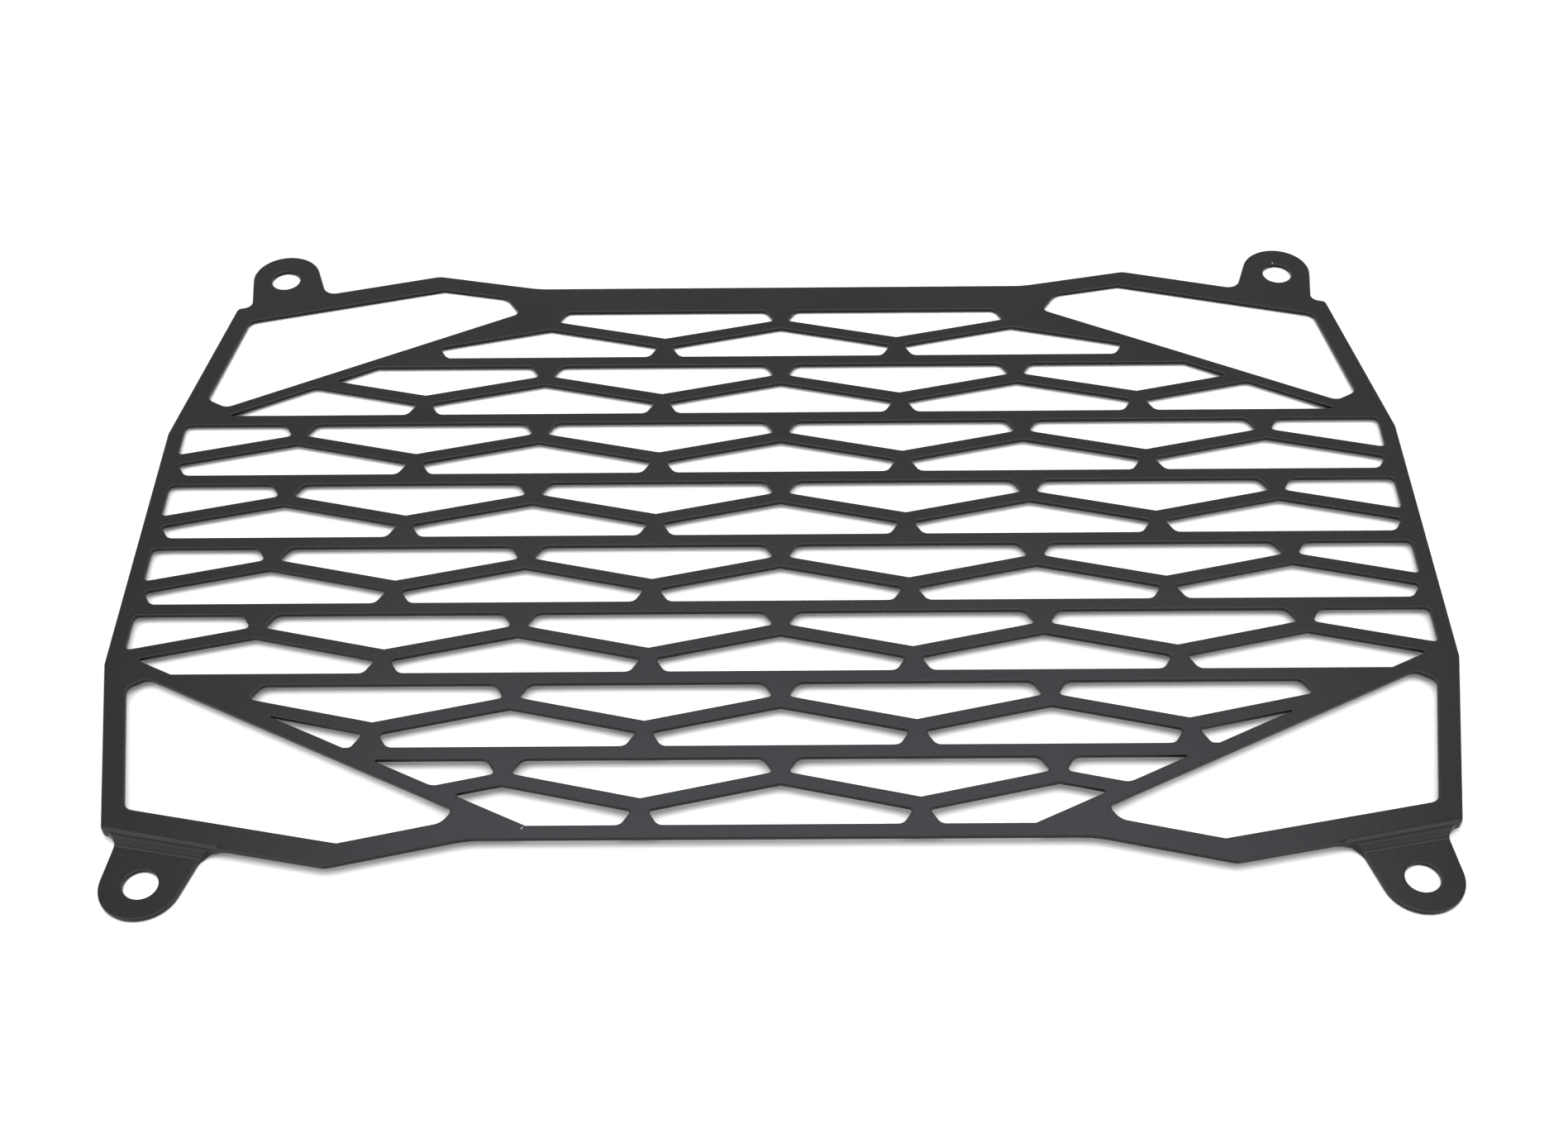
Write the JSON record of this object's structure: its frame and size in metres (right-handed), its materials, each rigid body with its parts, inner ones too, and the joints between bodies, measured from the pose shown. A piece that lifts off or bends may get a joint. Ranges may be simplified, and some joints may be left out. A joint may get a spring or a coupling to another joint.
{
  "type": "radiator guard",
  "caption": "Flat sheet-metal radiator guard with a zigzag lattice, braced corner windows and bolt ears, the lower ears stepped down by a joggle.",
  "frame": {"origin": "middle of the outline in plan, on the seat of the lower ears", "axes": "+X across the guard, +Y from the lower ears to the upper ears, +Z out of the front face"},
  "size_m": [0.2852, 0.2, 0.0034],
  "materials": {
    "powder_coat": "satin-matte black powder coat with a fine grain"
  },
  "bodies": {
    "root": {"radiator_guard": "powder_coat"}
  },
  "joints": []
}
